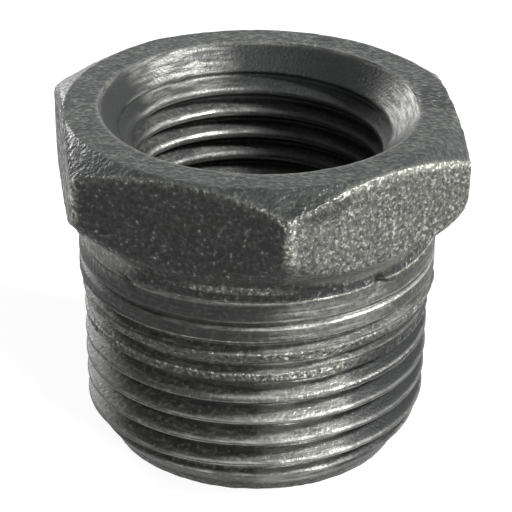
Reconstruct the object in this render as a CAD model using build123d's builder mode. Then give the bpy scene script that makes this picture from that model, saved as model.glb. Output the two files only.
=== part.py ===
from build123d import *
import os
from math import atan, degrees, radians, tan

# Hex reducing bushing, 3/4 x 1/2 inch taper pipe thread, cast and machined in one piece.
# Lengths are in millimetres and angles in degrees. The origin is the centre of the small end's
# face, +Z runs up the bore to the hexagon's face, and two corners of the hexagon lie on the Y axis.
# The shank's thread is cut in full. The bore is plain, at the crests of its fine inner thread.

# Hexagon
length = 26.4  # end face to hexagon face
across_flats = 29.0
corner_radius = 0.8  # cast corners of the hexagon
face_inset = 0.3  # from the flats in to the turned circle on the hexagon's face
face_chamfer_angle = 30.0  # slope from that circle down to the corners
neck_height = 18.4  # end face to the foot of the hexagon's sloping underside
underside_angle = 39.0  # slope of the underside

# Shank before its thread is cut
shank_diameter = 25.9
neck_step = 0.4  # how far the cast neck stands out of the shank
shank_height = 11.9  # end face to the neck's shoulder
shoulder_height = 1.0
taper_height = 7.4  # end face to where the tapered crests reach the shank's diameter
end_chamfer_depth = 2.3  # shank's radius in to the end face's edge
end_chamfer_height = 2.8

# Bore
bore_diameter = 18.3
mouth_diameter = 23.6
countersink_angle = 45.0  # between the countersink and the axis

# Thread: 14 to the inch, 60 degree form, taper 1 in 16 on diameter
thread_pitch = 25.4 / 14
thread_taper = 1 / 16
thread_depth = 1.25  # tapered crests to the groove's root
flank_angle = 30.0
groove_angle = -30.0  # where the groove starts, round from the X axis
groove_height = 0.96  # end face to the groove's root at its start
runout_height = 9.4  # end face to where the groove begins to climb out of the shank
plain_neck = 1.06  # from where it has climbed out up to the hexagon
cutter_clearance = 0.05  # how far the groove's cutter stands out of the metal

taper_slope = thread_taper / 2
bore_radius = bore_diameter / 2
mouth_radius = mouth_diameter / 2
countersink_depth = (mouth_radius - bore_radius) / tan(radians(countersink_angle))
face_radius = across_flats / 2 - face_inset
shank_radius = shank_diameter / 2
neck_radius = shank_radius + neck_step
end_radius = shank_radius - end_chamfer_depth
crest_end_radius = shank_radius - taper_height * taper_slope
chamfer_radius = crest_end_radius + end_chamfer_height * taper_slope
groove_end_height = neck_height - plain_neck


def root_radius(height):
    """Radius of the groove's root: up the taper, then climbing to the neck where it ends."""
    start_radius = crest_end_radius - thread_depth
    if height < runout_height:
        return start_radius + height * taper_slope
    runout_radius = start_radius + runout_height * taper_slope
    climb_slope = (neck_radius - runout_radius) / (groove_end_height - runout_height)
    return runout_radius + (height - runout_height) * climb_slope


def groove_turn(height, reach):
    """One turn of the thread's V groove, as a solid to take away.

    Its root is a conical helix that starts at the given height and stands at the root's radius
    there and a pitch higher. The V opens outwards from it by reach, with both flanks at the
    flank angle.
    """
    foot_radius = root_radius(height)
    rise = root_radius(height + thread_pitch) - foot_radius
    with BuildLine(Plane.XY.offset(height).rotated((0, 0, groove_angle))) as root:
        Helix(thread_pitch, thread_pitch, foot_radius, cone_angle=degrees(atan(rise / thread_pitch)))
    start = root.line @ 0
    outwards = Vector(start.X, start.Y, 0)
    half_mouth = reach * tan(radians(flank_angle))
    with BuildPart() as groove:
        with BuildSketch(Plane(start, x_dir=outwards, z_dir=outwards.cross(Vector(0, 0, 1)))):
            with BuildLine():
                Polyline((0, 0), (reach, -half_mouth), (reach, half_mouth), close=True)
            make_face()
        sweep(path=root.line, is_frenet=True)
    return groove.part


# The head is a hexagonal prism, turned to a slope at its face and under its corners.
corner_reach = across_flats / 3**0.5 + 1
face_drop = (corner_reach - face_radius) * tan(radians(face_chamfer_angle))
underside_rise = (corner_reach - neck_radius) * tan(radians(underside_angle))
with BuildPart() as head:
    with BuildSketch(Plane.XY.offset(neck_height)) as hexagon:
        RegularPolygon(across_flats / 2, 6, major_radius=False, rotation=30)
        fillet(hexagon.vertices(), corner_radius)
    extrude(amount=length - neck_height)
    with BuildSketch(Plane.YZ):
        with BuildLine():
            Polyline(
                (face_radius, length),
                (corner_reach, length - face_drop),
                (corner_reach, length),
                close=True,
            )
        make_face()
        with BuildLine():
            Polyline(
                (neck_radius, neck_height),
                (corner_reach, neck_height + underside_rise),
                (corner_reach, neck_height),
                close=True,
            )
        make_face()
    revolve(axis=Axis.Z, mode=Mode.SUBTRACT)

with BuildPart() as hex_bushing:
    with BuildSketch(Plane.YZ):
        with BuildLine():
            Polyline(
                (0, 0),
                (end_radius, 0),
                (chamfer_radius, end_chamfer_height),
                (shank_radius, taper_height),
                (shank_radius, shank_height),
                (neck_radius, shank_height + shoulder_height),
                (neck_radius, neck_height),
                (0, neck_height),
                close=True,
            )
        make_face()
    revolve(axis=Axis.Z)
    add(head.part)
    with BuildSketch(Plane.YZ):
        with BuildLine():
            Polyline(
                (0, 0),
                (bore_radius, 0),
                (bore_radius, length - countersink_depth),
                (mouth_radius, length),
                (0, length),
                close=True,
            )
        make_face()
    revolve(axis=Axis.Z, mode=Mode.SUBTRACT)

    height = groove_height
    while height + thread_pitch / 2 < groove_end_height:
        top = height + thread_pitch
        metal_radius = shank_radius if top + thread_pitch / 2 < shank_height else neck_radius
        reach = metal_radius + cutter_clearance - root_radius(height)
        add(groove_turn(height, reach), mode=Mode.SUBTRACT)
        height = top

hex_bushing.part.label = "hex_bushing"
os.makedirs("parts", exist_ok=True)
export_step(hex_bushing.part, "parts/hex_bushing.step")
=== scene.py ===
"""Hex reducing bushing: a black cast iron pipe fitting on a pale floor, in soft studio light.

The casting is one closed surface. It is worked out as a profile for each direction round the axis,
and where a thread is cut, the rows of the surface climb with it, so that crests and roots stay sharp.
"""
import itertools
from math import cos, pi, radians, sin, tan

import bpy
import numpy as np
from mathutils import Matrix, Vector


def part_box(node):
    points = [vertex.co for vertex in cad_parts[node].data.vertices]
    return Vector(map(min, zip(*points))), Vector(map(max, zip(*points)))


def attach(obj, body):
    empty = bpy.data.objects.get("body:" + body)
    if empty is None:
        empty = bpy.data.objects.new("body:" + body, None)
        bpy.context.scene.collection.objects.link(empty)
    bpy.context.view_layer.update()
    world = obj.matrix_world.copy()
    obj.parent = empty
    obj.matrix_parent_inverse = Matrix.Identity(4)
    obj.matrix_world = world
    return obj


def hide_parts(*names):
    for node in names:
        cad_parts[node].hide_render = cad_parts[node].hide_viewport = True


MM = 0.001  # metres in a millimetre

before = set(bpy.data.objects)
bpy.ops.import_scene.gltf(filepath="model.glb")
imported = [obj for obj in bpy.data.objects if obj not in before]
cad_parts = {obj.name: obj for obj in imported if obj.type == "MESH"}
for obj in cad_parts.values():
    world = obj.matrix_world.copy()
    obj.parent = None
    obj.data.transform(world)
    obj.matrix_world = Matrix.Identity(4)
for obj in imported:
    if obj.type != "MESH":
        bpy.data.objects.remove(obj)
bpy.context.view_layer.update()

# ---------------------------------------------------------------------------------------------
# Sizes, in millimetres. The origin is the centre of the small end's face, and +Z is up the bore.

CAD_LOW, CAD_HIGH = [np.array(corner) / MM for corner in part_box("hex_bushing")]
LENGTH = CAD_HIGH[2]
# Axis to each flat, starting at +X and going round by sixty degrees: the casting is a little uneven.
FLATS = CAD_HIGH[0] - np.array([0.25, 0.15, 0.0, 0.0, 0.0, 0.0])
CORNER_POWER = 93.0  # how sharply two flats meet
CORNER_REACH = (15.0, 16.5)  # radii between which the hexagon goes from flat to corner
FACE_RADIUS = 14.2  # turned circle on the hexagon's face
FACE_SLOPE = tan(radians(30.0))
FACE_EDGE = 0.12  # least width of the slope round the face
NECK_RADIUS = 13.35
NECK_HEIGHT = 18.4
UNDERSIDE_SLOPE = tan(radians(39.0))
BORE_RADIUS = 9.15
MOUTH_RADIUS = 11.8
SEAT_HEIGHT = LENGTH - (MOUTH_RADIUS - BORE_RADIUS)  # foot of the countersink
END_FACE_RADIUS = 10.85
# Shank and neck before the thread, as heights and radii, and the height their kinks are softened over.
SHANK = [
    (0.0, 10.65), (2.8, 12.806), (7.4, 12.95), (11.9, 12.95), (12.9, NECK_RADIUS),
    (NECK_HEIGHT, NECK_RADIUS),
]
SHANK_KINKS = 0.25

# Roundings of the head's profile: under it, at the foot and top of the flats, round its face and
# round the mouth. Those of the flats grow towards the corners.
HEAD_ROUNDINGS = [(0.3, 0.0), (0.35, 1.3), (0.15, 0.3), (0.15, 0.0), (0.12, 0.0)]
END_ROUNDING = 0.15
TURNED_START = (-0.05, 0.1)  # how far in from the mouth's rim the turned countersink comes in
RIM_WIDTH = 0.15  # how far the mouth's rim is rubbed, across it
SLOPE_EDGE_WIDTH, SLOPE_EDGE_HEIGHT = 0.18, 0.48  # the same for the edge from flats to slope
SHARP_CORNER = (16.4, 16.6)  # radii between which the hexagon's scuffed corners begin

# Both threads: 14 turns to the inch, 60 degree form, taper 1 in 16 on the diameter.
PITCH = 25.4 / 14
FLANK = tan(radians(30.0))
TAPER = 1 / 32
ROOT_ROUNDING = 0.05
CREST_ROUNDING = 0.09
OUTER_ROOT_HEIGHT = 0.96 + PITCH * 30 / 360  # height of the outer groove's root at +X, first turn
OUTER_ROOT = 11.469  # root radius, carried down to the end face
OUTER_RUNOUT, OUTER_RUNOUT_SLOPE = 9.4, 0.2  # height from which the root climbs out, and how fast
INNER_ROOT_HEIGHT = 20.207  # height of the inner groove's root at +X, one of its turns
INNER_ROOT = 10.5  # root radius at the hexagon's face
INNER_RUNOUT, INNER_RUNOUT_SLOPE = 12.0, 0.194  # the same, as a depth below that face
OUTER_LOW, OUTER_HIGH = 0.9, 17.6  # what the outer thread's climbing rows cover
INNER_LOW, INNER_HIGH = 9.0, 25.6

MARK_PHASES = np.array([3, 7, 10]) / 14  # tool marks between the upper turns, as shares of the pitch
MARK_DEPTH, MARK_WIDTH = 0.07, 0.07

COLUMNS = 312
CROWDING = 0.35  # how far the columns crowd towards the hexagon's corners
OUTER_ROWS_PER_TURN = 14
INNER_ROWS_PER_TURN = 10
BEND_ROWS = 5

# ---------------------------------------------------------------------------------------------
# Wear, dirt, painted highlights, painted shade and flaws

# Every point carries four values from 0 to 1 for the material: how far it is cut rather than cast,
# how far rubbed bright, together with painted highlights, how dark with dirt, together with painted
# shade, and how far it has the smoother skin of the face.
WEAR = ("cut", "rub_and_highlight", "dirt_and_shade", "faced")

# Sides given painted highlights where the lamps catch the iron, and painted shade where their light
# falls off, on top of its wear: the middle, round from +X, the cosines of the angles off it at which
# the side begins and is in full, and its strength.
SIDES = {
    # crest edges: rubbed all round, with a painted highlight towards the lamps
    "crests": (-75.0, 0.20, 0.95, 1.0),
    # tool marks and neck: painted highlights where the key lamp catches them
    "highlit_side": (-72.0, 0.90, 0.99, 1.0),
    # flanks: a painted highlight in a band down the front
    "painted highlight band": (-81.0, 0.945, 0.998, 0.52),
    # right limb of the thread: painted shade where the lamps' light falls off
    "painted_side_shade": (-33.0, 0.80, 0.97, 1.0),
    # edge onto the slope: rubbed, with a painted highlight above the flat facing the key lamp
    "slope": (-60.0, 0.80, 0.90, 1.0),
    # flat facing the key lamp: partly rubbed iron, partly painted highlight and painted glints
    "bare flat": (-60.0, 0.85, 0.87, 0.20),
    # countersink: painted highlights where it mirrors the lamps, on the right and at the back
    "mouth, right": (-2.0, 0.84, 1.0, 0.8),
    "mouth, back": (117.0, 0.87, 1.0, 0.8),
    # bore's crest edges: a painted highlight on this side, and painted shade on the others
    "bore": (118.0, 0.75, 0.99, 1.0),
}

# Bands of the shank and neck: the heights between which each comes in and goes out again. One that
# comes in below zero reaches down to the end face.
BANDS = {
    "skimmed crests": (13.0, 14.2, 16.6, 17.2),
    "tool marks": (11.5, 13.5, 16.6, 17.1),
    # neck under the head: painted darker, least on the side of its painted highlight
    "dark neck": (12.8, 14.0, 16.8, 17.2),
    # neck: a painted highlight
    "highlit neck": (13.0, 14.0, 16.8, 17.2),
    # heights of the painted highlight down the flanks
    "painted highlight band": (-1.0, 0.0, 12.5, 14.0),
    # heights of the painted shade on the right limb
    "painted_side_shade": (-1.0, 0.0, 11.0, 13.5),
}
CAST_CRESTS = (7.5, 10.5)  # heights between which the crests change from cut to cast
NECK_START = 14.0

# Patches: angle round from +X and height of the middle, and half sizes round and up. A patch fades
# out between the two shares of its half sizes.
PATCH_FADE = (0.6, 1.1)
PATCHES = {
    # neck's left side: smoother bare skin, painted lighter as a light from the left would leave it
    "bare neck": (-158.0, 17.9, 5.0, 1.9),
    # left corner: bright specks, a painted highlight
    "scuffed corner": (-157.0, 24.0, 1.6, 1.8),
    # under the head at the front: painted glints, a painted highlight, over scuffed skin
    "scuffed underside": (-104.0, 17.8, 5.0, 0.5),
    "smooth underside": (-62.0, 18.8, 6.0, 1.0),
    "dirty corner": (-82.0, 25.2, 2.6, 0.9),
}

# Depths below the crests: where the groove begins, the edge that is rubbed and given painted
# highlights, and its width, and where the painted shade in the root begins and is in full.
GROOVE_START = (-0.05, 0.12)
CREST_EDGE, CREST_EDGE_WIDTH = 0.02, 0.09
ROOT_SHADE = (0.9, 1.25)

# Flaws of the casting: angle round from +X and height of the middle, half sizes along both, lean
# (height gained per millimetre round), depth (below zero it stands out), and how dark it is (below
# zero, how bright).
FLAWS = {
    "pit under the head": (-55.5, 16.95, 0.50, 0.48, -0.6, 0.65, 1.0),
    "pit's tail": (-59.0, 16.35, 0.55, 0.24, 0.3, 0.30, 1.0),
    "scar's ridge": (-144.0, 17.35, 0.55, 0.17, -0.7, -0.26, -1.0),
    "scar's hollow": (-142.0, 16.85, 0.80, 0.20, -0.4, 0.30, 1.0),
    "scar's lower ridge": (-137.5, 16.95, 0.80, 0.14, 0.2, -0.26, -1.0),
    "lip of the groove's mouth": (-64.0, 1.82, 2.80, 0.13, 0.11, 0.24, 1.0),
    "nick in the back corner": (27.0, 25.3, 1.10, 0.80, 0.0, 0.35, 0.0),
}
RAGGED_SIZE, RAGGED_SHIFT = 0.45, 0.22  # lumps that make the flaws' outlines ragged
RAGGED_FLAT = 0.4  # half height below which the lumps shift a flaw less, up and down

# Relief: the size of its lumps, the scales along X, Y and Z that draw them out, how high they
# stand, and the seed of their random numbers. The tool streaks run along the cut, round the axis.
CHIP_DEPTH = 0.07
RELIEF = {
    "broad hollows": (3.4, (1.0, 1.0, 1.0), 0.06, 1),
    "dimples": (1.1, (1.0, 1.0, 1.0), 0.035, 2),
    "sand grain": (0.42, (1.0, 1.0, 1.0), 0.05, 3),
    "chips": (0.5, (1.0, 1.0, 1.0), CHIP_DEPTH, 4),
    "tool streaks": (0.35, (0.1, 0.1, 1.0), 0.006, 5),
}

# ---------------------------------------------------------------------------------------------
# Forms


def directions():
    """Angles of the columns, crowded towards the hexagon's corners: a = t + s sin(6 t) / 6."""
    t = np.linspace(0, 2 * pi, COLUMNS + 1)
    return t + CROWDING * np.sin(6 * t) / 6


ANGLE = directions()


def smooth(value, low, high):
    """Goes smoothly from 0 at low to 1 at high."""
    t = np.clip((value - low) / (high - low), 0, 1)
    return t * t * (3 - 2 * t)


def side(name):
    """How far each column lies on a named side: a smooth step on the cosine of the angle off it."""
    middle, begins, full, strength = SIDES[name]
    return strength * smooth(np.cos(ANGLE - radians(middle)), begins, full)[None, :]


def band(heights, name):
    """How far each height lies in a named band, from 0 to 1: one smooth step in and one out."""
    begins, full, ends, gone = BANDS[name]
    return smooth(heights, begins, full) * (1 - smooth(heights, ends, gone))


def patch(heights, name):
    """A soft round patch, from 0 to 1: a smooth step on the distance from its middle."""
    at, middle, half_round, half_height = PATCHES[name]
    along = ((ANGLE[None, :] - radians(at) + pi) % (2 * pi) - pi) * NECK_RADIUS
    reach = np.hypot(along / half_round, (heights - middle) / half_height)
    return 1 - smooth(reach, *PATCH_FADE)


def crest_edge(cut_depth):
    """How near a point is to the edge of a crest: exp(-((depth - edge) / width)^2)."""
    return np.exp(-(((cut_depth - CREST_EDGE) / CREST_EDGE_WIDTH) ** 2))


def seat_highlight():
    """How far the countersink carries a painted highlight in each direction: most on two sides."""
    return 0.5 * np.maximum(side("mouth, right"), side("mouth, back"))


def seat_shade():
    """How dark the countersink is painted in each direction, as painted shade: less on its right side.
    """
    return 0.95 - 0.5 * side("mouth, right")


def hexagon_radius(angle):
    """Rounded hexagon: (sum over the flats of (cos(angle - flat) / distance) ** p) ** (-1 / p)."""
    flats = np.arange(6)[:, None] * pi / 3
    near = np.clip(np.cos(angle[None, :] - flats), 1e-3, None) / FLATS[:, None]
    return np.sum(near**CORNER_POWER, axis=0) ** (-1 / CORNER_POWER)


def rounded_steps(heights, profile, width):
    """A profile's radius at the given heights, its kinks softened by averaging over the width."""
    z, r = np.array(profile).T
    return np.mean([np.interp(heights + width * k, z, r) for k in (-0.5, -0.25, 0, 0.25, 0.5)], axis=0)


def soft_min(a, b, width):
    """The smaller of a and b, with the corner where they cross rounded over the width."""
    mix = np.clip(0.5 + 0.5 * (b - a) / width, 0, 1)
    return a * mix + b * (1 - mix) - width * mix * (1 - mix)


def groove_offset(angle, heights, root_height):
    """Signed height above the nearest turn of a groove whose root climbs a pitch each turn."""
    phase = (heights - root_height - PITCH * angle / (2 * pi)) / PITCH
    return (phase - np.round(phase)) * PITCH


def groove_rise(offset):
    """How far a V groove's wall stands off its root: (sqrt(d^2 + e^2) - e) / tan 30.

    d is the height above the root's middle and e the root's rounding.
    """
    return (np.sqrt(offset**2 + ROOT_ROUNDING**2) - ROOT_ROUNDING) / FLANK


def outer_radius(angle, heights):
    """Shank and neck with the thread: the smaller of the plain profile and the V groove's wall.

    The root follows the taper, then climbs out of the metal. There is no groove under the first turn.
    """
    blank = rounded_steps(heights, SHANK, SHANK_KINKS)
    offset = groove_offset(angle, heights, OUTER_ROOT_HEIGHT)
    middle = heights - offset
    climb = np.clip(middle - OUTER_RUNOUT, 0, None) * (OUTER_RUNOUT_SLOPE - TAPER)
    root = np.where(middle < OUTER_LOW, NECK_RADIUS + 1, OUTER_ROOT + middle * TAPER + climb)
    wall = root + groove_rise(offset)
    return soft_min(wall, blank, CREST_ROUNDING), blank - wall


def inner_radius(angle, heights):
    """Bore and countersink with the thread: the larger of the plain wall and the V groove's wall."""
    blank = np.maximum(BORE_RADIUS, BORE_RADIUS + heights - SEAT_HEIGHT)
    offset = groove_offset(angle, heights, INNER_ROOT_HEIGHT)
    depth = LENGTH - (heights - offset)
    climb = np.clip(depth - INNER_RUNOUT, 0, None) * (INNER_RUNOUT_SLOPE - TAPER)
    wall = INNER_ROOT - depth * TAPER - climb - groove_rise(offset)
    return -soft_min(-wall, -blank, CREST_ROUNDING), wall - blank


def tool_marks(angle, heights):
    """Fine lines on the upper turns, from 0 to 1, climbing with the thread and varying round it."""
    lines = np.zeros(np.broadcast(angle, heights).shape)
    for phase in MARK_PHASES:
        offset = groove_offset(angle, heights, OUTER_ROOT_HEIGHT + phase * PITCH)
        strength = 0.6 + 0.4 * np.cos(5 * angle + 40 * phase)
        lines = np.maximum(lines, strength * np.exp(-((offset / MARK_WIDTH) ** 2)))
    return lines * band(heights, "tool marks")


def climbing_rows(low, high, root_height, rows_per_turn):
    """Heights of rows that climb a pitch each turn, cut off level at the low and high ends."""
    first = root_height + PITCH * np.floor((low - PITCH - root_height) / PITCH)
    count = int(np.ceil((high - first) / PITCH * rows_per_turn)) + 1
    start = first + np.arange(count)[:, None] * PITCH / rows_per_turn
    return np.clip(start + PITCH * ANGLE[None, :] / (2 * pi), low, high)


def line(start, end, steps):
    """Points from start to end for every column, as (steps, columns, 2) of radius and height."""
    t = np.linspace(0, 1, steps)[:, None, None]
    return start[None] * (1 - t) + end[None] * t


def corner(before, at, after, reach, steps):
    """A rounded corner: the quadratic Bezier curve over a reach to each side, kept inside its arms."""
    def towards(point):
        arm = point - at
        span = np.linalg.norm(arm, axis=1, keepdims=True)
        return at + arm * np.minimum(reach[:, None] / np.maximum(span, 1e-9), 0.45)

    start, end = towards(before), towards(after)
    t = np.linspace(0, 1, steps)[:, None, None]
    return (1 - t) ** 2 * start[None] + 2 * t * (1 - t) * at[None] + t**2 * end[None]


def level(surface_radius, height):
    """A threaded surface's radius at one height, for every column."""
    return surface_radius(ANGLE, np.full_like(ANGLE, height))[0]


def ring(radius, height):
    """One point of the profile for every column."""
    return np.stack([np.broadcast_to(radius, ANGLE.shape), np.broadcast_to(height, ANGLE.shape)], axis=1)


def path_rows(points, reaches, steps):
    """Rows along a profile's points, its inner corners rounded, with the given rows on each run."""
    pieces, start = [], points[0]
    for k in range(1, len(points) - 1):
        reach = np.broadcast_to(reaches[k - 1], ANGLE.shape)
        bend = corner(points[k - 1], points[k], points[k + 1], reach, BEND_ROWS)
        pieces += [line(start, bend[0], steps[k - 1])[:-1], bend[:-1]]
        start = bend[-1]
    pieces.append(line(start, points[-1], steps[-1]))
    return np.concatenate(pieces)


def lumps(points, size, seed):
    """Value noise from -1 to 1: random numbers on a grid of the given size, blended smoothly.

    Each number is a hash of its place on the grid and the seed, so it is the same every time.
    """
    cell = np.floor(points / size).astype(np.int64)
    t = points / size - cell
    t = t * t * (3 - 2 * t)
    total = np.zeros(len(points))
    for step in itertools.product((0, 1), repeat=3):
        at = cell + np.array(step)
        key = (at[:, 0] * 73856093) ^ (at[:, 1] * 19349663) ^ (at[:, 2] * 83492791)
        key = key ^ (seed * 2654435761)
        key = (key ^ (key >> 13)) * 1274126177 & 0xFFFFFFFF
        value = ((key ^ (key >> 16)) & 0xFFFFFF) / 0xFFFFFF
        total += np.prod(np.where(np.array(step), t, 1 - t), axis=1) * value
    return total * 2 - 1


# Each of the next functions gives one block of rows: radius, height and wear values.


def end_face():
    """The flat end face, from the bore out, and the foot of the end chamfer."""
    foot = level(outer_radius, OUTER_LOW)
    points = [ring(BORE_RADIUS, 0.0), ring(END_FACE_RADIUS, 0.0), ring(foot, OUTER_LOW)]
    rows = path_rows(points, [END_ROUNDING], [4, 4])
    return rows[..., 0], rows[..., 1], {"cut": 0.5, "rub_and_highlight": 0.2, "dirt_and_shade": 0.6, "faced": 0.0}


def outer_thread():
    """Shank and neck, on rows that climb with the thread.

    The groove is cut. Crests half way up keep their cast skin, and the tool has skimmed those of
    the neck. Edges and tool marks are rubbed, and on the front right they carry painted highlights,
    as do the neck and a band of the flanks. Towards the right limb the thread has painted shade,
    and the roots and the neck under the head are painted darker.
    """
    z = climbing_rows(OUTER_LOW, OUTER_HIGH, OUTER_ROOT_HEIGHT, OUTER_ROWS_PER_TURN)
    r, cut_depth = outer_radius(ANGLE[None, :], z)
    marks = tool_marks(ANGLE[None, :], z)
    in_groove = smooth(cut_depth, *GROOVE_START)
    on_edge = crest_edge(cut_depth)
    cast_crest = smooth(z, *CAST_CRESTS) * (1 - 0.8 * band(z, "skimmed crests"))
    cut = np.maximum(in_groove, 1 - cast_crest)
    # painted highlights on the marks and neck at -72 degrees, and painted shade on the right limb beside
    # them
    highlit_side = side("highlit_side")
    painted_side_shade = side("painted_side_shade") * band(z, "painted_side_shade")
    rub_and_highlight = np.maximum.reduce([
        on_edge * (0.4 + 0.6 * side("crests")),
        0.18 * cast_crest * (1 - in_groove) * (z < NECK_START),
        (0.06 + 0.94 * highlit_side) * marks,
        side("painted highlight band") * band(z, "painted highlight band"),
        0.24 * highlit_side * band(z, "highlit neck"),
    ])
    # painted shade in the roots, and the neck painted darker under the head, least where highlit
    dirt_and_shade = np.maximum(smooth(cut_depth, *ROOT_SHADE), (0.65 - 0.35 * highlit_side) * band(z, "dark neck"))
    dirt_and_shade = np.maximum(dirt_and_shade, painted_side_shade)
    bare_and_lit = patch(z, "bare neck") * (1 - in_groove)
    return r - MARK_DEPTH * marks, z, {
        "cut": cut * (1 - bare_and_lit),
        "rub_and_highlight": np.maximum(rub_and_highlight * (1 - 0.6 * painted_side_shade), 0.5 * bare_and_lit),
        "dirt_and_shade": dirt_and_shade * (1 - bare_and_lit) * (1 - on_edge),
        "faced": bare_and_lit,
    }


def head():
    """Neck's top, hexagon, face and countersink.

    The hexagon's edges are scuffed where the profile turns on to the slope, and down each corner;
    above the flat at -60 degrees the slope's edge also has a painted highlight. That flat faces the
    key lamp, and is rubbed and painted lighter than the others, with painted glints, as a painted
    highlight. The countersink is painted dark, as painted shade, but for two painted highlights. The
    neck's left side, its corner above and the underside at the front have painted light as well. The
    slope and the face have a smoother skin than the flats.
    """
    edge = hexagon_radius(ANGLE)
    face_edge = np.minimum(FACE_RADIUS, edge - FACE_EDGE)
    low_edge = NECK_HEIGHT + (edge - NECK_RADIUS) * UNDERSIDE_SLOPE
    high_edge = LENGTH - np.clip(edge - face_edge, 0, None) * FACE_SLOPE
    cornerness = smooth(edge, *CORNER_REACH)
    points = [
        ring(level(outer_radius, OUTER_HIGH), OUTER_HIGH),
        ring(NECK_RADIUS, NECK_HEIGHT),
        ring(edge, low_edge),
        ring(edge, high_edge),
        ring(face_edge, LENGTH),
        ring(MOUTH_RADIUS, LENGTH),
        ring(level(inner_radius, INNER_HIGH), INNER_HIGH),
    ]
    reaches = [least + more * cornerness for least, more in HEAD_ROUNDINGS]
    rows = path_rows(points, reaches, [5, 8, 20, 6, 14, 5])
    radius, height = rows[..., 0], rows[..., 1]

    turned = smooth(MOUTH_RADIUS - radius, *TURNED_START) * (height > NECK_HEIGHT + 5)
    on_rim = np.exp(-(((radius - MOUTH_RADIUS) / RIM_WIDTH) ** 2)) * (height > LENGTH - 1)
    off_edge = (radius - edge) / SLOPE_EDGE_WIDTH, (height - high_edge) / SLOPE_EDGE_HEIGHT
    on_slope_edge = np.exp(-(off_edge[0] ** 2) - off_edge[1] ** 2)
    on_corner = smooth(edge, *SHARP_CORNER) * (radius > edge - 0.1)
    on_flat = (radius > NECK_RADIUS + 0.3) * (height < high_edge + 0.1)
    bare_and_lit = patch(height, "bare neck")
    smooth_underside = patch(height, "smooth underside") * (height < low_edge + 0.1)
    # rubbed rim, edges and corners, with painted highlights in the countersink, on the slope's edge, the
    # flat facing the key lamp and three patches
    rub_and_highlight = np.maximum.reduce([
        0.35 * on_rim,
        seat_highlight() * turned,
        0.95 * on_slope_edge * (0.2 + 0.8 * side("slope")),
        0.665 * on_corner,
        (0.02 + side("bare flat")) * on_flat,
        0.6 * bare_and_lit,
        0.2 * patch(height, "scuffed corner"),
        0.35 * patch(height, "scuffed underside"),
    ])
    # the countersink is painted dark, as painted shade, except on its right side
    return radius, height, {
        "cut": turned,
        "rub_and_highlight": np.maximum(rub_and_highlight * (1 - smooth_underside), 0.35 * smooth_underside),
        "dirt_and_shade": np.maximum(turned * seat_shade(), 0.6 * patch(height, "dirty corner")),
        "faced": np.maximum.reduce([
            smooth(height - high_edge, 0.0, 0.15) * (1 - turned), bare_and_lit, smooth_underside,
        ]),
    }


def inner_thread():
    """Foot of the countersink and the bore's thread, from the mouth down.

    Its crests are rubbed a little, and on one side carry a painted highlight; on the others they have
    painted shade.
    """
    z = climbing_rows(INNER_LOW, INNER_HIGH, INNER_ROOT_HEIGHT, INNER_ROWS_PER_TURN)[::-1]
    r, cut_depth = inner_radius(ANGLE[None, :], z)
    # painted highlight on the crests at 118 degrees, painted shade elsewhere in the bore
    worn_and_highlit = 0.08 + 0.92 * side("bore")
    in_seat = smooth(z, SEAT_HEIGHT - 0.1, SEAT_HEIGHT + 0.1)
    dirt_and_shade = in_seat * seat_shade() + (1 - in_seat) * (0.9 - 0.5 * worn_and_highlit)
    return r, z, {
        "cut": 1.0,
        "rub_and_highlight": np.maximum(crest_edge(cut_depth) * worn_and_highlit * (0.5 + 0.5 * worn_and_highlit), in_seat * seat_highlight()),
        "dirt_and_shade": np.maximum(dirt_and_shade, smooth(cut_depth, *ROOT_SHADE)),
        "faced": 0.0,
    }


def plain_bore():
    """The bore below its thread, down to the end face."""
    rows = line(ring(level(inner_radius, INNER_LOW), INNER_LOW), ring(BORE_RADIUS, 0.0), 7)
    return rows[..., 0], rows[..., 1], {"cut": 0.3, "rub_and_highlight": 0.0, "dirt_and_shade": 0.5, "faced": 0.0}


def stack_grid(radius, height, wear):
    """One block of rows as points, their wear values and the two triangles of each grid cell."""
    points = np.stack([radius * np.cos(ANGLE), radius * np.sin(ANGLE), height], axis=2).reshape(-1, 3)
    index = np.arange(len(points)).reshape(radius.shape)
    a, b, c, d = index[:-1, :-1], index[:-1, 1:], index[1:, 1:], index[1:, :-1]
    faces = np.concatenate([np.stack(t, axis=2).reshape(-1, 3) for t in ((a, b, c), (a, c, d))])
    values = [np.broadcast_to(wear[name], radius.shape).reshape(-1) for name in WEAR]
    return points, values, faces


def bushing_surface():
    """The casting from the end face up the outside, over the hexagon and down through the bore."""
    grids = [stack_grid(*block()) for block in (end_face, outer_thread, head, inner_thread, plain_bore)]
    points, values, faces = zip(*grids)
    bases = np.cumsum([0] + [len(p) for p in points[:-1]])
    wear = {name: np.concatenate([v[k] for v in values]) for k, name in enumerate(WEAR)}
    return np.concatenate(points), wear, np.concatenate([f + base for f, base in zip(faces, bases)])


def weld(points, wear, faces):
    """Joins points that share a place, and drops the triangles that this closes up."""
    _, first, same = np.unique(np.round(points, 5) + 0.0, axis=0, return_index=True, return_inverse=True)
    same = same.reshape(-1)
    count = np.bincount(same)
    wear = {name: np.bincount(same, weights=values) / count for name, values in wear.items()}
    faces = same[faces]
    real = (faces[:, 0] != faces[:, 1]) & (faces[:, 1] != faces[:, 2]) & (faces[:, 2] != faces[:, 0])
    return points[first], wear, faces[real]


def point_normals(points, faces):
    """Unit normal at each point: the sum of its triangles' normals, weighted by their areas."""
    a, b, c = points[faces[:, 0]], points[faces[:, 1]], points[faces[:, 2]]
    flat = np.cross(b - a, c - a)
    total = np.stack([
        sum(np.bincount(faces[:, k], weights=flat[:, axis], minlength=len(points)) for k in range(3))
        for axis in range(3)
    ], axis=1)
    return total / np.maximum(np.linalg.norm(total, axis=1, keepdims=True), 1e-12)


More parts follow.
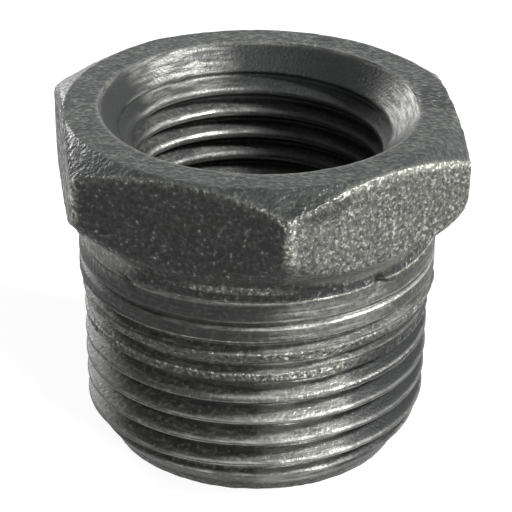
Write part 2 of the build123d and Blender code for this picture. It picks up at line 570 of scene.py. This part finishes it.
def flaws(points):
    """Depth, darkness and brightness of the flaws at each point: exp(-(u^2 + v^2)) round each middle.

    u and v are the distances from the middle, round and up, over the half sizes. Lumps shift them,
    so that the outlines are ragged. Only the outside has flaws, and on the head they stay off the
    face's inner part.
    """
    angle, radius = np.arctan2(points[:, 1], points[:, 0]), np.hypot(points[:, 0], points[:, 1])
    on_head = smooth(radius, NECK_RADIUS + 0.5, NECK_RADIUS + 2.0)
    outside = np.where(points[:, 2] > NECK_HEIGHT + 2, on_head, radius > NECK_RADIUS - 2.5)
    shift_round, shift_up = [RAGGED_SHIFT * lumps(points, RAGGED_SIZE, seed) for seed in (6, 7)]
    depth, dark, bright = np.zeros((3, len(points)))
    for at, height, half_round, half_height, lean, deep, darkness in FLAWS.values():
        along = ((angle - radians(at) + pi) % (2 * pi) - pi) * radius + shift_round
        up = points[:, 2] - height - lean * along + shift_up * min(half_height / RAGGED_FLAT, 1)
        shape = np.exp(-((along / half_round) ** 2) - (up / half_height) ** 2) * outside
        depth += deep * shape
        dark = np.maximum(dark, darkness * shape)
        bright = np.maximum(bright, -darkness * shape)
    return depth, dark, bright


def cast_relief(points, normals, wear):
    """Moves each point along its normal, in or out, by lumps times their height.

    The cast skin has hollows, dimples and sand grain, and cut metal has streaks. Chips go inwards,
    where the metal is rubbed and where highlights are painted, and as the square of their lumps, so
    that few are deep. The flaws are sunk in as well, and their darkness and bright ridges are added
    to the wear values.
    """
    relief = {
        name: high * lumps(points * np.array(stretch), size, seed)
        for name, (size, stretch, high, seed) in RELIEF.items()
    }
    chips = np.clip(relief["chips"], 0, None) ** 2 / CHIP_DEPTH
    fine = (1 - 0.6 * wear["faced"]) * (relief["dimples"] + relief["sand grain"])
    move = (1 - wear["cut"]) * (relief["broad hollows"] + fine)
    move += wear["cut"] * relief["tool streaks"] - wear["rub_and_highlight"] * chips
    depth, dark, bright = flaws(points)
    wear["dirt_and_shade"] = np.maximum(wear["dirt_and_shade"], np.clip(1.7 * dark, 0, 1))
    wear["rub_and_highlight"] = np.maximum(wear["rub_and_highlight"], 0.8 * bright)
    return points + normals * (move - depth)[:, None]


# ---------------------------------------------------------------------------------------------
# Materials

RAMP, MIX, MATH = "ShaderNodeValToRGB", "ShaderNodeMix", "ShaderNodeMath"
COLOUR = {"data_type": "RGBA", "output": 2}  # makes a mix node mix colours: factor 0, colours 6 and 7

# Noise patterns of the iron: size in millimetres, detail, roughness, and the scales along X, Y and
# Z of those that are drawn out along the cut. Real sand grain is 0.1 to 0.3 mm, and the marks of a
# tool are finer than 0.05 mm. Both are drawn coarser here, so that they show.
PATTERNS = {
    "grain": (0.34, 1.5, 0.55, None),
    # where the painted glints sit among the grains
    "painted glints": (0.27, 1.0, 0.5, None),
    "dimples": (0.7, 2.0, 0.5, None),
    "tint": (1.6, 3.0, 0.6, None),
    "blotches": (2.4, 4.0, 0.6, None),
    "streaks": (0.16, 3.0, 0.6, (0.08, 0.08, 1.0)),
    "brushed": (0.26, 3.0, 0.6, (0.14, 0.14, 1.5)),
    "tool grit": (0.25, 2.0, 0.6, None),
    "cut blotches": (1.2, 4.0, 0.65, None),
}


def linear(hex_colour):
    """sRGB hex, such as "#3a3a38", to linear RGBA."""
    parts = [int(hex_colour[k:k + 2], 16) / 255 for k in (1, 3, 5)]
    return [p / 12.92 if p <= 0.04045 else ((p + 0.055) / 1.055) ** 2.4 for p in parts] + [1.0]


def node(tree, kind, inputs=None, output=0, stops=(), **settings):
    """Adds a node with its settings and links, and gives one of its outputs.

    Inputs are values or other nodes' outputs, by the socket's name or number. Stops are those of a
    colour ramp: a place, and a grey from 0 to 1 or an sRGB hex colour.
    """
    made = tree.nodes.new(kind)
    for name, value in settings.items():
        setattr(made, name, value)
    for socket, value in (inputs or {}).items():
        if isinstance(value, bpy.types.NodeSocket):
            tree.links.new(value, made.inputs[socket])
        else:
            made.inputs[socket].default_value = value
    for number, (place, colour) in enumerate(stops):
        elements = made.color_ramp.elements
        stop = elements[number] if number < 2 else elements.new(place)
        stop.position = place
        stop.color = linear(colour) if isinstance(colour, str) else [colour] * 3 + [1.0]
    return made.outputs[output] if len(made.outputs) else None


def new_material(name):
    """An empty node material and its node tree."""
    material = bpy.data.materials.new(name)
    material.use_nodes = True
    material.node_tree.nodes.clear()
    return material, material.node_tree


def black_cast_iron():
    """Black cast iron, sand-cast and then turned and threaded.

    The skin from the sand mould is a dark gritty crust with scattered light grains. Where it is
    rubbed, the iron shows through lighter and sparkles from the sides of its grains, and where the
    lamps catch it most that lightness and small glints are painted. The cut metal has gone dark
    again. It is smoother and streaked along the cut, with painted shade in the roots and the bore,
    and bright and metallic only where it is worn or given a painted highlight, along the crests
    and in the mouth.
    """
    material, tree = new_material("black_cast_iron")
    place = node(tree, "ShaderNodeTexCoord", output="Object")
    cut, rub_and_highlight, dirt_and_shade, faced = [
        node(tree, "ShaderNodeAttribute", output="Fac", attribute_name=name) for name in WEAR
    ]
    pattern = {}
    for name, (size, detail, roughness, stretch) in PATTERNS.items():
        at = node(tree, "ShaderNodeMapping", {"Vector": place, "Scale": stretch}) if stretch else place
        pattern[name] = node(tree, "ShaderNodeTexNoise", {
            "Vector": at, "Scale": 1 / (size * MM), "Detail": detail, "Roughness": roughness,
        })

    # Cast skin: dark pits and light grains, more or fewer of them from blotch to blotch. The faced
    # skin has less of both, and is mottled.
    uneven = node(tree, MATH, {0: pattern["blotches"], 1: 0.5}, operation="SUBTRACT")
    swing = node(tree, MATH, {0: uneven, 1: 0.25, 2: pattern["grain"]}, operation="MULTIPLY_ADD")
    skin = node(tree, RAMP, {0: swing}, stops=[
        (0.34, "#242525"), (0.46, "#2a2b2b"), (0.60, "#323333"), (0.69, "#585857"), (0.80, "#acaca8"),
    ])
    faced_skin = node(tree, RAMP, {0: swing}, stops=[
        (0.30, "#2c2f2f"), (0.46, "#363a39"), (0.60, "#3f4240"), (0.76, "#5e5f5b"),
    ])
    mottle = node(tree, RAMP, {0: pattern["tint"]}, stops=[(0.36, 0.5), (0.56, 0.0)])
    faced_skin = node(tree, MIX, {0: mottle, 6: faced_skin, 7: linear("#b4b4b4")},
                      blend_type="MULTIPLY", **COLOUR)
    warm = node(tree, RAMP, {0: pattern["tint"]}, stops=[(0.50, 0.0), (0.60, 1.0)])

    # Rubbed skin and painted highlights: lighter bare iron on the grains' tops, and small painted glints
    # among them.
    on_grains = node(tree, RAMP, {0: pattern["grain"]}, stops=[(0.34, 0.25), (0.68, 0.9)])
    on_grains = node(tree, MIX, {0: faced, 2: on_grains, 3: 0.5})
    scuffed_and_highlit = node(tree, MATH, {0: rub_and_highlight, 1: on_grains}, operation="MULTIPLY")
    painted_glint = node(tree, RAMP, {0: pattern["painted glints"]}, stops=[(0.57, 0.0), (0.70, 1.0)])
    where_rubbed_and_highlit = node(tree, RAMP, {0: rub_and_highlight}, stops=[(0.1, 0.0), (0.6, 0.9)])
    painted_glint = node(tree, MATH, {0: where_rubbed_and_highlit, 1: painted_glint}, operation="MULTIPLY")
    painted_glint_strength = node(tree, MIX, {0: faced, 2: 1.0, 3: 0.2})
    painted_glint = node(tree, MATH, {0: painted_glint, 1: painted_glint_strength}, operation="MULTIPLY")
    for share, colour, blend in (
        (faced, faced_skin, "MIX"),
        (warm, linear("#fffff2"), "MULTIPLY"),
        # rubbed skin and painted highlights, lighter
        (scuffed_and_highlit, linear("#b8b9ac"), "MIX"),
        # painted glints: a painted highlight in the colour
        (painted_glint, linear("#f2f2ea"), "MIX"),
        # dirt, and painted shade
        (dirt_and_shade, linear("#161716"), "MIX"),
    ):
        skin = node(tree, MIX, {0: share, 6: skin, 7: colour}, blend_type=blend, **COLOUR)

    # Cut metal: dark, with streaks drawn out along the cut, light grit, and worn places and painted
    # highlights brushed the same way, darkened by dirt and painted shade.
    patchy = node(tree, RAMP, {0: pattern["cut blotches"]}, stops=[(0.38, 0.0), (0.62, 1.0)])
    streaky = node(tree, RAMP, {0: pattern["streaks"]}, stops=[(0.46, 0.0), (0.72, 0.8)])
    gritty = node(tree, RAMP, {0: pattern["grain"]}, stops=[(0.52, 0.0), (0.74, 0.6)])
    brushed = node(tree, RAMP, {0: pattern["brushed"]}, stops=[(0.40, 0.2), (0.62, 1.0)])
    worn_and_highlit = node(tree, MATH, {0: rub_and_highlight, 1: brushed}, operation="MULTIPLY")
    metal = linear("#393a3a")
    for share, colour in (
        (patchy, "#4b4c4a"),
        (streaky, "#6e6e69"),
        (gritty, "#8c8c86"),
        # dirt, and painted shade in the roots, bore and countersink
        (dirt_and_shade, "#222424"),
        # worn metal and painted highlights
        (worn_and_highlit, "#b8b8b0"),
    ):
        metal = node(tree, MIX, {0: share, 6: metal, 7: linear(colour)}, **COLOUR)
    base_colour = node(tree, MIX, {0: cut, 6: skin, 7: metal}, **COLOUR)

    # The oxide on cut metal leaves it only partly metallic, and less so under dirt and painted shade.
    metallic = node(tree, MIX, {0: dirt_and_shade, 2: 0.3, 3: 0.1})
    metallic = node(tree, MIX, {0: worn_and_highlit, 2: metallic, 3: 0.9})
    metallic = node(tree, MIX, {0: cut, 2: scuffed_and_highlit, 3: metallic})

    grain_tops = node(tree, RAMP, {0: pattern["grain"]}, stops=[(0.45, 0.0), (0.60, 1.0)])
    skin_rough = node(tree, MIX, {0: faced, 2: 0.6, 3: 0.45})
    skin_rough = node(tree, MIX, {0: grain_tops, 2: skin_rough, 3: 0.28})
    cut_rough = node(tree, MIX, {0: pattern["streaks"], 2: 0.42, 3: 0.56})
    cut_rough = node(tree, MIX, {0: worn_and_highlit, 2: cut_rough, 3: 0.28})
    rough = node(tree, MIX, {0: cut, 2: skin_rough, 3: cut_rough})

    # Heights of the bump, in millimetres.
    skin_height = node(tree, MATH, {0: pattern["grain"], 1: 0.20}, operation="MULTIPLY")
    skin_height = node(tree, MATH, {0: pattern["dimples"], 1: 0.12, 2: skin_height},
                       operation="MULTIPLY_ADD")
    skin_share = node(tree, MIX, {0: faced, 2: 1.0, 3: 0.5})
    skin_height = node(tree, MATH, {0: skin_height, 1: skin_share}, operation="MULTIPLY")
    cut_height = node(tree, MATH, {0: pattern["streaks"], 1: 0.016}, operation="MULTIPLY")
    cut_height = node(tree, MATH, {0: pattern["tool grit"], 1: 0.06, 2: cut_height},
                      operation="MULTIPLY_ADD")
    height = node(tree, MIX, {0: cut, 2: skin_height, 3: cut_height})
    bump = node(tree, "ShaderNodeBump", {"Strength": 1.0, "Distance": MM, "Height": height})

    shine = node(tree, MIX, {0: faced, 2: 0.25, 3: 0.36})
    shader = node(tree, "ShaderNodeBsdfPrincipled", {
        "Base Color": base_colour, "Metallic": metallic, "Roughness": rough,
        "Specular IOR Level": shine, "Normal": bump,
    })
    node(tree, "ShaderNodeOutputMaterial", {"Surface": shader})
    return material


# ---------------------------------------------------------------------------------------------
# The casting


def casting():
    """The bushing's mesh, with its wear values as attributes and its material."""
    points, wear, faces = weld(*bushing_surface())
    points = cast_relief(points, point_normals(points, faces), wear)
    points = np.clip(points, CAD_LOW, CAD_HIGH)  # the relief stays inside the solid's box
    mesh = bpy.data.meshes.new("hex_bushing_casting")
    mesh.vertices.add(len(points))
    mesh.vertices.foreach_set("co", (points * MM).ravel())
    mesh.loops.add(faces.size)
    mesh.loops.foreach_set("vertex_index", faces.ravel())
    mesh.polygons.add(len(faces))
    mesh.polygons.foreach_set("loop_start", np.arange(0, faces.size, 3))
    mesh.polygons.foreach_set("use_smooth", np.ones(len(faces), dtype=bool))
    mesh.update(calc_edges=True)
    mesh.validate()
    for name, values in wear.items():
        mesh.attributes.new(name, "FLOAT", "POINT").data.foreach_set("value", values)
    piece = bpy.data.objects.new("hex_bushing_casting", mesh)
    bpy.context.scene.collection.objects.link(piece)
    mesh.materials.append(black_cast_iron())
    return piece


bushing = casting()
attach(bushing, "root")
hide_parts("hex_bushing")

# ---------------------------------------------------------------------------------------------
# Floor, light and camera

CAMERA_TARGET = Vector((0, 0, 13)) * MM
CAMERA_DISTANCE = 200 * MM
CAMERA_ANGLE = radians(-98.1)  # where the camera stands, round from +X
CAMERA_RISE = radians(27.69)
CAMERA_ROLL = radians(-0.87)
FOCAL_PIXELS, PIXELS = 2648.0, 512
PRINCIPAL_POINT = (256.57, 266.14)  # in pixels, from the image's top left corner
SENSOR = 36  # millimetres, as the lens is given

# Lamps: angle round from +X and rise above the level, in degrees, distance and size in metres, level.
LAMPS = {
    "key_lamp": (-26, 43, 0.45, 0.08, 1.85),
    "band_lamp": (-67, 14, 0.45, 0.05, 0.45),
    "fill_lamp": (-98, 62, 0.45, 0.2, 0.16),
    "back_lamp": (118, 14, 0.6, 0.25, 0.6),
}
FLOOR_HALF = 1.5  # metres
FLOOR_GLOW = 0.90
WALLS_FADE = (0.45, 0.8)  # sines of the rise at which the walls begin to fade, and at which they end
CEILING = 0.08  # the ceiling's brightness, beside that of the walls
WORLD_LIGHT, WORLD_SEEN = 0.08, 1.0  # strength of the world's light, and of the world where seen


def stand(angle, rise, distance):
    """A place seen from the target at an angle round from +X and a rise above the level."""
    return CAMERA_TARGET + distance * Vector((cos(rise) * cos(angle), cos(rise) * sin(angle), sin(rise)))


def add_camera():
    """The camera, facing the target, rolled a little, its image shifted to the principal point."""
    camera = bpy.data.objects.new("camera", bpy.data.cameras.new("camera"))
    bpy.context.scene.collection.objects.link(camera)
    place = stand(CAMERA_ANGLE, CAMERA_RISE, CAMERA_DISTANCE)
    forward = (CAMERA_TARGET - place).normalized()
    right = forward.cross(Vector((0, 0, 1))).normalized()
    up = right.cross(forward)
    c, s = cos(CAMERA_ROLL), sin(CAMERA_ROLL)
    image_x, image_y = right * c - up * s, right * s + up * c
    turn = Matrix((image_x, image_y, -forward)).transposed()
    camera.matrix_world = Matrix.Translation(place) @ turn.to_4x4()
    camera.data.sensor_width = SENSOR
    camera.data.lens = SENSOR * FOCAL_PIXELS / PIXELS
    camera.data.shift_x = (PIXELS / 2 - PRINCIPAL_POINT[0]) / PIXELS
    camera.data.shift_y = (PRINCIPAL_POINT[1] - PIXELS / 2) / PIXELS
    camera.data.clip_start = 10 * MM
    camera.data.clip_end = 10
    bpy.context.scene.camera = camera


def softbox(name, angle, rise, distance, size, level):
    """A square lamp facing the casting. A level of 1 lights a white card that faces it to white.

    A card's brightness is power / (pi * distance)^2.
    """
    lamp = bpy.data.lights.new(name, "AREA")
    lamp.shape = "SQUARE"
    lamp.size = size
    lamp.energy = level * (pi * distance) ** 2
    made = bpy.data.objects.new(name, lamp)
    made.location = stand(radians(angle), radians(rise), distance)
    made.rotation_euler = (CAMERA_TARGET - made.location).to_track_quat("-Z", "Y").to_euler()
    bpy.context.scene.collection.objects.link(made)


def white_where_seen(tree, plain, seen):
    """Shows the second shader to the camera, to metal and through glass, and the first to the rest."""
    camera, glossy, transmission = [
        node(tree, "ShaderNodeLightPath", output=name)
        for name in ("Is Camera Ray", "Is Glossy Ray", "Is Transmission Ray")
    ]
    direct = node(tree, MATH, {0: camera, 1: glossy}, operation="MAXIMUM")
    direct = node(tree, MATH, {0: direct, 1: transmission}, operation="MAXIMUM")
    return node(tree, "ShaderNodeMixShader", {0: direct, 1: plain, 2: seen})


def add_world():
    """Pale walls all round, which fade between 27 and 53 degrees up into a ceiling left dark."""
    world = bpy.data.worlds.new("studio")
    bpy.context.scene.world = world
    world.use_nodes = True
    tree = world.node_tree
    tree.nodes.clear()
    direction = node(tree, "ShaderNodeTexCoord", output="Generated")
    rise = node(tree, "ShaderNodeSeparateXYZ", {"Vector": direction}, output="Z")
    walls = node(tree, "ShaderNodeMapRange", {
        "Value": rise, "From Min": WALLS_FADE[0], "From Max": WALLS_FADE[1],
        "To Min": 1.0, "To Max": CEILING,
    }, interpolation_type="SMOOTHSTEP")
    plain = node(tree, "ShaderNodeBackground", {"Color": walls, "Strength": WORLD_LIGHT})
    seen = node(tree, "ShaderNodeBackground", {"Color": walls, "Strength": WORLD_SEEN})
    node(tree, "ShaderNodeOutputWorld", {"Surface": white_where_seen(tree, plain, seen)})


def add_floor():
    """A wide matt white board. It glows white where it is seen, and keeps a soft shadow.

    For the light that it throws back on the casting it is a plain grey, so that this stays low.
    """
    corners = [(x * FLOOR_HALF, y * FLOOR_HALF, 0) for x, y in ((-1, -1), (1, -1), (1, 1), (-1, 1))]
    mesh = bpy.data.meshes.new("floor")
    mesh.from_pydata(corners, [], [(0, 1, 2, 3)])
    floor = bpy.data.objects.new("floor", mesh)
    bpy.context.scene.collection.objects.link(floor)
    material, tree = new_material("matt_white_board")
    plain = node(tree, "ShaderNodeBsdfDiffuse", {"Color": linear("#6a6a6a")})
    lit = node(tree, "ShaderNodeBsdfDiffuse", {"Color": linear("#8a8a8a")})
    glow = node(tree, "ShaderNodeEmission", {"Color": linear("#ffffff"), "Strength": FLOOR_GLOW})
    seen = node(tree, "ShaderNodeAddShader", {0: lit, 1: glow})
    node(tree, "ShaderNodeOutputMaterial", {"Surface": white_where_seen(tree, plain, seen)})
    mesh.materials.append(material)


add_camera()
add_world()
add_floor()
for lamp_name, lamp_values in LAMPS.items():
    softbox(lamp_name, *lamp_values)

bpy.context.scene.view_settings.view_transform = "Standard"
